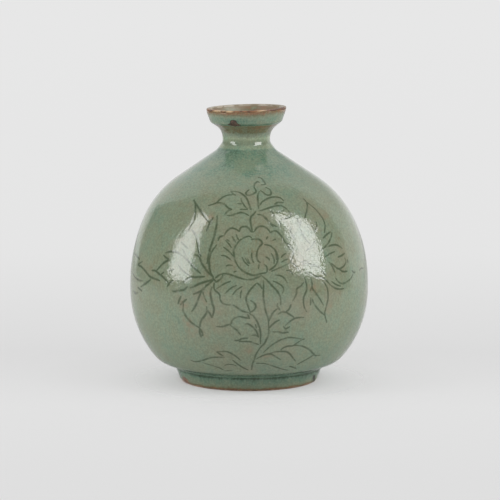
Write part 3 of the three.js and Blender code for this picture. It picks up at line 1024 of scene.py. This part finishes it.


# The neck's bands of painted reflection, laid over the glaze's colour.
def paint_neck_reflections(tree, ragged_height, colour):
    up_the_neck = over(tree, minus(tree, ragged_height, NECK_BOTTOM), NECK_LENGTH)
    stops = [((level - NECK_BOTTOM) / NECK_LENGTH, grey(value / 2)) for level, value in NECK_REFLECTION_BANDS]
    reflection_bands = times(tree, ramp(tree, up_the_neck, stops), 2.0)
    return add(tree, "HueSaturation", {"Color": colour, "Value": reflection_bands}).outputs[0]


def mark_the_glaze(tree, place, colour):
    """The worn patch at the foot, the warm blushes and the dark glass in the cuts."""
    drawn_back = ramp(tree, cloud(tree, place, 500, 3), PATCH_CLAY)
    colour = blend(tree, value_of(tree, "worn"), colour, drawn_back)
    mottled = cloudy(tree, place, (330, 3), 0.34, 0.66, 0.04, 0.5)
    colour = blend(tree, times(tree, value_of(tree, "blush"), mottled), colour, BLUSH_COLOUR)
    uneven = cloudy(tree, place, (260, 3), 0.34, 0.56, 0.62, 1.0)
    in_cut = remap(tree, value_of(tree, "across_cut"), 0.2, 1.75, 0.8, 0.0)
    return blend(tree, times(tree, in_cut, uneven), colour, CUT_COLOUR)


def outside_relief(tree, place, height, lines):
    relief = times(tree, cloud(tree, place, 150, 2), 0.8)
    relief = plus(tree, relief, times(tree, cloud(tree, place, 420, 3), 0.9))
    relief = plus(tree, relief, times(tree, cloud(tree, place, 950, 2), 0.35))
    relief = minus(tree, relief, times(tree, lines, 0.08))
    relief = times(tree, relief, remap(tree, value_of(tree, "coarse"), 0.0, 1.0, 1.0, 2.2))
    return times(tree, relief, remap(tree, height, 118.0, 128.0, 1.0, 0.35))


def outside_celadon():
    material, tree, shader = new_material("celadon_outside")
    place = place_in(tree)
    height = value_of(tree, "thrown_height")
    ragged_height = plus(tree, height, cloudy(tree, place, (260, 3), 0.3, 0.7, -0.15, 0.15))
    colours = glaze_by_height(tree, ragged_height)
    glaze, lines = craze(tree, colours["Colour"], CRACK_SPACING, 0.24)
    glaze = paint_neck_reflections(tree, ragged_height, glaze)
    glaze = mark_the_glaze(tree, place, glaze)
    chipped = value_of(tree, "chipped")
    bared_clay = ramp(tree, cloud(tree, place, 900, 4), CHIP_CLAY)
    bared_clay = blend(tree, remap(tree, chipped, 0.75, 0.45), bared_clay, CHIP_EDGE_COLOUR)
    bare = remap(tree, chipped, 0.2, 0.4)
    rough = plus(tree, colours["Roughness"], times(tree, bare, 0.6))
    plug(tree, shader, base_color=blend(tree, bare, glaze, bared_clay), roughness=rough)
    emboss(tree, shader, outside_relief(tree, place, height, lines), 0.0001)
    shader.inputs["IOR"].default_value = GLAZE_IOR
    return material


def mouth_celadon():
    material, tree, shader = new_material("celadon_mouth")
    place = place_in(tree)
    height = value_of(tree, "thrown_height")
    ragged = plus(tree, height, cloudy(tree, place, (260, 3), 0.3, 0.7, -0.5, 0.5))
    near_lip = remap(tree, ragged, 147.6, 149.0, 0.0, 0.2)
    patchy = cloudy(tree, place, (140, 4, 0.6), 0.4, 0.6, 0.02, 0.5)
    colours = use_group(tree, glaze_colour, {"Thickness": minus(tree, patchy, near_lip), "Iron": 0.9})
    milky = cloudy(tree, place, (240, 4), 0.44, 0.6, 0.0, 0.5)
    pale = blend(tree, milky, colours["Colour"], MILKY_COLOUR)
    plug(tree, shader, base_color=craze(tree, pale, MOUTH_CRACK_SPACING, 0.25)[0])
    shader.inputs["Roughness"].default_value = 0.45
    emboss(tree, shader, cloud(tree, place, 300, 3), 0.00008)
    return material


def base_celadon():
    material, tree, shader = new_material("celadon_base")
    place = place_in(tree)
    patchy = cloudy(tree, place, (90, 3), 0.35, 0.65, 0.35, 0.62)
    colours = use_group(tree, glaze_colour, {"Thickness": patchy, "Iron": 0.5})
    crazed = craze(tree, colours["Colour"], CRACK_SPACING, 0.2)[0]
    plug(tree, shader, base_color=crazed, roughness=colours["Roughness"])
    emboss(tree, shader, cloud(tree, place, 200, 3), 0.0001)
    return material


def make_fired_clay():
    group, given, made = new_group(
        "fired_clay",
        [("Light", "NodeSocketColor"), ("Dark", "NodeSocketColor"), ("Grain", "NodeSocketFloat")],
        [("Colour", "NodeSocketColor"), ("Height", "NodeSocketFloat"), ("Roughness", "NodeSocketFloat")],
    )
    place = place_in(group)
    patches = cloudy(group, place, (260, 4), 0.32, 0.62)
    grains = cloud(group, place, given["Grain"], 4)
    share = times(group, patches, remap(group, grains, 0.25, 0.6))
    group.links.new(blend(group, share, given["Dark"], given["Light"]), made["Colour"])
    group.links.new(grains, made["Height"])
    group.links.new(remap(group, grains, 0.3, 0.7, 0.6, 0.85), made["Roughness"])
    return group


fired_clay = make_fired_clay()


def clay(name, light, dark, grain=1100.0, relief=0.00006):
    material, tree, shader = new_material(name)
    fired = use_group(tree, fired_clay, {"Light": light, "Dark": dark, "Grain": grain})
    plug(tree, shader, base_color=fired["Colour"], roughness=fired["Roughness"])
    emboss(tree, shader, fired["Height"], relief)
    return material


def worn_lip():
    material, tree, shader = new_material("worn_lip")
    place = place_in(tree)
    brown, orange = shade(72, 46, 34), shade(164, 114, 76)
    fired = use_group(tree, fired_clay, {"Light": orange, "Dark": brown, "Grain": 900.0})
    parts = add(tree, "SeparateXYZ", {0: place}).outputs
    stops = [((x + LIP_REACH) / (2 * LIP_REACH), grey(share)) for x, share in LIP_WEAR_AND_HIGHLIGHT]
    along = plus(tree, over(tree, parts["X"], 2 * LIP_REACH * MM), 0.5)
    wear_and_highlight = ramp(tree, along, stops)
    streak_place = add(tree, "Mapping", {"Vector": place, "Scale": (0.35, 1.0, 1.6)}).outputs[0]
    streaks = cloudy(tree, streak_place, (260, 3, 0.5), 0.4, 0.52)
    # The pale streaks are partly worn clay and partly a painted highlight on the lip.
    pale = times(tree, streaks, wear_and_highlight)
    colour = blend(tree, pale, fired["Colour"], shade(214, 184, 142))
    reddish = remap(tree, parts["X"], 0.009, 0.012, 0.0, 0.6)
    colour = blend(tree, reddish, colour, shade(98, 70, 54))
    front = remap(tree, parts["Y"], 0.004, -0.008)
    far_side = blend(tree, streaks, shade(150, 138, 116), shade(186, 176, 158))
    colour = blend(tree, front, far_side, colour)
    plug(tree, shader, base_color=colour)
    shader.inputs["Roughness"].default_value = 0.45
    emboss(tree, shader, fired["Height"], 0.00008)
    return material


# The glaze over the outside, with the cut drawing and the chips.
def thin_out_edges(piece):
    points = read_points(piece)
    heights = points[:, 2]
    from_edge = np.minimum(heights - GLAZE_BOTTOM, GLAZE_TOP - heights)
    thinner = (GLAZE_THICKNESS - GLAZE_EDGE_THICKNESS) * (1 - smoothstep(from_edge, 0, GLAZE_EDGE_LENGTH))
    thinner[~is_outside(points)] = 0
    low = 1 - smoothstep(heights, GLAZE_BOTTOM, GLAZE_BOTTOM + GLAZE_EDGE_ZONE)
    high = smoothstep(heights, GLAZE_TOP - GLAZE_EDGE_ZONE, GLAZE_TOP)
    wave = GLAZE_EDGE_WANDER * wander(points * (1, 1, 0), size=5.0, seed=7.0)
    points += inward_at(points) * thinner[:, None]
    points[:, 2] += (low + high) * wave - low * GLAZE_EDGE_SAG
    write_points(piece, points)


def with_turned_lines(line):
    standing = sum(out * np.exp(-(((line.imag - height) / tall) ** 2)) for height, out, tall in TURNED_LINES)
    return line - inward(line) * standing


def outer_glaze(cuts):
    foot = stretch(rounded(OUTSIDE, LINE_SPACING), GLAZE_BOTTOM, FINE_FOOT_TOP)
    body = stretch(rounded(OUTSIDE, OUTLINE_SPACING), FINE_FOOT_TOP, FINE_NECK_BOTTOM)
    neck = stretch(rounded(OUTSIDE, LINE_SPACING), FINE_NECK_BOTTOM, GLAZE_TOP)
    outside = with_turned_lines(np.concatenate([foot, body[1:], neck[1:]]))
    coarse = rounded(OUTSIDE, BACK_SPACING)
    behind = stretch(coarse + inward(coarse) * GLAZE_THICKNESS, GLAZE_BOTTOM, GLAZE_TOP)
    piece = turned("celadon_coat", closed(outside, behind[::-1]))
    tree = tree_of(cuts[:, :3])
    refine(piece, tree)
    press_cuts(piece, cuts, tree)
    points = read_points(piece)
    chipped = np.maximum(patch_share(points, CHIPS), NICK_SHARE * patch_share(points, NICKS))
    keep_value(piece, "chipped", chipped)
    keep_value(piece, "worn", patch_share(points, [FOOT_PATCH]))
    keep_value(piece, "blush", spot_share(points, BLUSHES))
    keep_value(piece, "coarse", spot_share(points, COARSE_SPOTS))
    write_points(piece, points + inward_at(points) * (CHIP_DEPTH * chipped * is_outside(points))[:, None])
    thin_out_edges(piece)
    return piece


def mouth_outline(offset, spacing):
    corners = [
        (BORE_RADIUS, BORE_GLAZE_BOTTOM, 0),
        (BORE_RADIUS, BASIN_HEIGHT - BASIN_FALL, BORE_ROUNDING),
        (BASIN_RADIUS, BASIN_HEIGHT, BASIN_ROUNDING),
        (LIP_INSIDE_RADIUS, DISH_TOP, 0),
    ]
    line = rounded(corners, spacing)
    return line + inward(line) * offset


def mouth_glaze():
    clay_side = stretch(mouth_outline(0, MOUTH_BACK_SPACING), BORE_GLAZE_BOTTOM, GLAZE_TOP)
    glass_side = stretch(mouth_outline(GLAZE_THICKNESS, FINE_SPACING), BORE_GLAZE_BOTTOM, GLAZE_TOP)
    return turned("mouth_coat", closed(clay_side, glass_side[::-1]), MOUTH_STEPS)


def clay_outside(spacing):
    line = rounded(OUTSIDE, spacing)
    return line + inward(line) * GLAZE_THICKNESS


def mouth_dish():
    outside = stretch(clay_outside(FINE_SPACING), DISH_BOTTOM, GLAZE_TOP)
    inside = stretch(mouth_outline(0, FINE_SPACING), DISH_BOTTOM, GLAZE_TOP)
    outer, inner = outside[-1], inside[-1]
    lip = [
        (outer.real, outer.imag, 0),
        (LIP_RADIUS, DISH_TOP, LIP_EDGE_ROUNDING),
        (inner.real, DISH_TOP, LIP_INNER_ROUNDING),
        (inner.real, inner.imag, 0),
    ]
    top = rounded(lip, LINE_SPACING)[1:-1]
    return turned("dish_of_the_mouth", closed(outside, top, inside[::-1]), MOUTH_STEPS)


def foot_ring():
    top_radius = radius_at(FOOT_SEAM) - GLAZE_THICKNESS
    corners = [
        (RECESS_RADIUS, FOOT_SEAM, 0),
        (RECESS_EDGE_RADIUS, 0, FOOT_EDGE_ROUNDING),
        (FOOT_EDGE_RADIUS, 0, FOOT_EDGE_ROUNDING),
        (top_radius, FOOT_SEAM, 0),
    ]
    return turned("foot_of_bare_clay", closed(rounded(corners, FINE_SPACING)))


def base_glaze():
    low = BASE_HEIGHT - GLAZE_THICKNESS
    corners = [
        (0, BASE_HEIGHT, 0),
        (BASE_GLAZE_RADIUS, BASE_HEIGHT, 0),
        (BASE_GLAZE_RADIUS, low, BASE_GLAZE_ROUNDING),
        (0, low, 0),
    ]
    return turned("base_coat", rounded(corners, BASE_SPACING), BASE_STEPS)


finish_piece(outer_glaze(find_cuts()), "outer_glaze", outside_celadon())
finish_piece(mouth_glaze(), "mouth_glaze", mouth_celadon())
finish_piece(base_glaze(), "base_glaze", base_celadon())
finish_piece(mouth_dish(), "mouth_dish", worn_lip())
bare_clay = clay("bare_clay", shade(186, 154, 124), shade(128, 100, 78))
finish_piece(foot_ring(), "foot_ring", bare_clay)

# The clay and slip pieces that keep their shapes.
inner_clay = clay("inner_clay", shade(150, 128, 106), shade(112, 92, 74))
slip = clay("luting_slip", shade(168, 144, 118), shade(136, 112, 90), 1600.0)
for name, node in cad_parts.items():
    node.data.materials.clear()
    node.data.materials.append(slip if name.endswith("slip") else inner_clay)


# The table, the studio and the camera.

# The left lamp's two tiers: name, the way it faces, width, lower and upper edge, and brightness.
LEFT_TIERS = [
    ("left_softbox", -69.3, 0.53, 0.085, 0.62, 5.8),
    ("left_upper_softbox", -66.3, 0.42, 0.62, 1.45, 5.9),
]
LEFT_AWAY = 1.2

# The right lamp's: how far aside it stands, width, lower and upper edge, and lean. Behind each of them stands
# a second lamp, which is seen in the glaze alone.
RIGHT_TIERS = [
    (0.625, 0.8, 0.145, 1.02, 11.0),
    (0.735, 1.12, 1.0, 1.56, 9.0),
]
RIGHT_FACING = 30.0
RIGHT_AWAY = 0.9
RIGHT_BRIGHTNESS = 3.9
GLARE_BRIGHTNESS = 3.6
GLARE_BACK = 1.022
TABLE_SIZE = (0.98, 2.4, 1.0)
TABLE_ASIDE = -0.06
TABLE_WHITENESS = 0.81

# How far the backdrop shows through the table, by the distance from the vase in metres.
TABLE_FADE = [
    (0.034, 0.35),
    (0.045, 0.54),
    (0.06, 0.69),
    (0.08, 0.81),
    (0.12, 0.92),
    (0.19, 0.975),
    (0.33, 1.0),
]


def softbox(name, facing, aside, away, width, low, high, radiance, lean=0.0):
    """A lamp in an upright plane that faces the vase from the angle given, and stands aside in it."""
    turn = math.radians(facing)
    out = Vector((math.sin(turn), -math.cos(turn), 0))
    along = Vector((math.cos(turn), math.sin(turn), 0))
    place = out * away + along * aside + Vector((0, 0, (low + high) / 2))
    bpy.ops.object.light_add(type="AREA", location=place, rotation=(math.pi / 2, math.radians(lean), turn))
    light = bpy.context.object
    light.name = name
    light.data.shape = "RECTANGLE"
    light.data.size = width
    light.data.size_y = high - low
    light.data.energy = radiance * math.pi * width * (high - low)
    light.visible_camera = False
    return light


for name, facing, width, low, high, radiance in LEFT_TIERS:
    softbox(name, facing, 0.0, LEFT_AWAY, width, low, high, radiance)
for aside, width, low, high, lean in RIGHT_TIERS:
    sizes = np.array((aside, RIGHT_AWAY, width, low, high))
    softbox("right_softbox", RIGHT_FACING, *sizes, RIGHT_BRIGHTNESS, lean)
    glare = softbox("right_glare", RIGHT_FACING, *sizes * GLARE_BACK, GLARE_BRIGHTNESS, lean)
    glare.visible_diffuse = False


def table():
    bpy.ops.mesh.primitive_plane_add(size=1)
    top = bpy.context.object
    top.name = "table"
    bpy.ops.object.mode_set(mode="EDIT")
    bpy.ops.mesh.select_all(action="SELECT")
    bpy.ops.transform.resize(value=TABLE_SIZE, center_override=(0, 0, 0))
    bpy.ops.transform.translate(value=(TABLE_ASIDE, 0, 0))
    bpy.ops.object.mode_set(mode="OBJECT")
    material = bpy.data.materials.new("table_top")
    material.use_nodes = True
    tree = material.node_tree
    tree.nodes.clear()
    distance = add(tree, "VectorMath", {0: place_in(tree)}, operation="LENGTH").outputs["Value"]
    stops = [(reach, grey(share)) for reach, share in TABLE_FADE]
    fade = ramp(tree, distance, stops)
    below = add(tree, "NewGeometry").outputs["Backfacing"]
    seen = add(tree, "LightPath").outputs["Is Camera Ray"]
    see_through = times(tree, maths(tree, "MAXIMUM", fade, below), seen)
    clear = add(tree, "BsdfTransparent").outputs[0]
    pale = add(tree, "BsdfDiffuse", {"Color": grey(TABLE_WHITENESS)}).outputs[0]
    mixed = add(tree, "MixShader", {0: see_through, 1: pale, 2: clear})
    add(tree, "OutputMaterial", {"Surface": mixed.outputs[0]})
    top.data.materials.append(material)


table()


def grey_of(tree, level):
    return add(tree, "CombineColor", {"Red": level, "Green": level, "Blue": level}).outputs[0]


# The studio is white behind the vase and dark in front. On either side the white's edge stands so far back,
# and comes forward as it rises: its start, its slope and how far back it is at most.
LEFT_EDGE = (1.04, 1.0, 0.8)
RIGHT_EDGE = (1.26, 1.06, 0.43)


def slanting_edge(tree, height, start, slope, limit):
    return maths(tree, "MINIMUM", minus(tree, start, times(tree, height, slope)), limit)


def studio_world():
    world = bpy.data.worlds.new("studio")
    bpy.context.scene.world = world
    world.use_nodes = True
    tree = world.node_tree
    tree.nodes.clear()
    way = add(tree, "TexCoord").outputs["Generated"]
    parts = add(tree, "SeparateXYZ", {0: way}).outputs
    left_edge = slanting_edge(tree, parts["Z"], *LEFT_EDGE)
    right_edge = slanting_edge(tree, parts["Z"], *RIGHT_EDGE)
    rightward = remap(tree, parts["X"], -0.1, 0.1)
    step = times(tree, minus(tree, right_edge, left_edge), rightward)
    edge = plus(tree, left_edge, step)
    white = remap(tree, minus(tree, parts["Y"], edge), -0.012, 0.012)
    behind = remap(tree, parts["Y"], 0.5, 0.85, 0.02, 0.36)
    raised = times(tree, remap(tree, parts["Z"], 0.12, 0.34), rightward)
    dimmer = times(tree, behind, raised)
    level = minus(tree, remap(tree, parts["Z"], 0.75, 0.95, 0.9, 0.62), dimmer)
    dark = remap(tree, parts["X"], -0.6, 0.2, 0.19, 0.245)
    studio = blend(tree, white, grey_of(tree, dark), grey_of(tree, level))
    seen = add(tree, "LightPath").outputs["Is Camera Ray"]
    stops = [(steepness, shade(level, level, level)) for steepness, level in BACKDROP]
    backdrop = ramp(tree, times(tree, parts["Z"], -1.0), stops)
    colour = blend(tree, seen, studio, backdrop)
    background = add(tree, "Background", {"Color": colour}).outputs[0]
    add(tree, "OutputWorld", {"Surface": background})


studio_world()


def camera():
    place = Vector(CAMERA_PLACE) * MM
    bpy.ops.object.camera_add(location=place, rotation=(math.radians(90 - CAMERA_TILT), 0, 0))
    made = bpy.context.object
    made.data.lens = CAMERA_LENS
    made.data.sensor_width = SENSOR_WIDTH
    bpy.context.scene.camera = made


camera()
bpy.context.scene.view_settings.view_transform = "Standard"
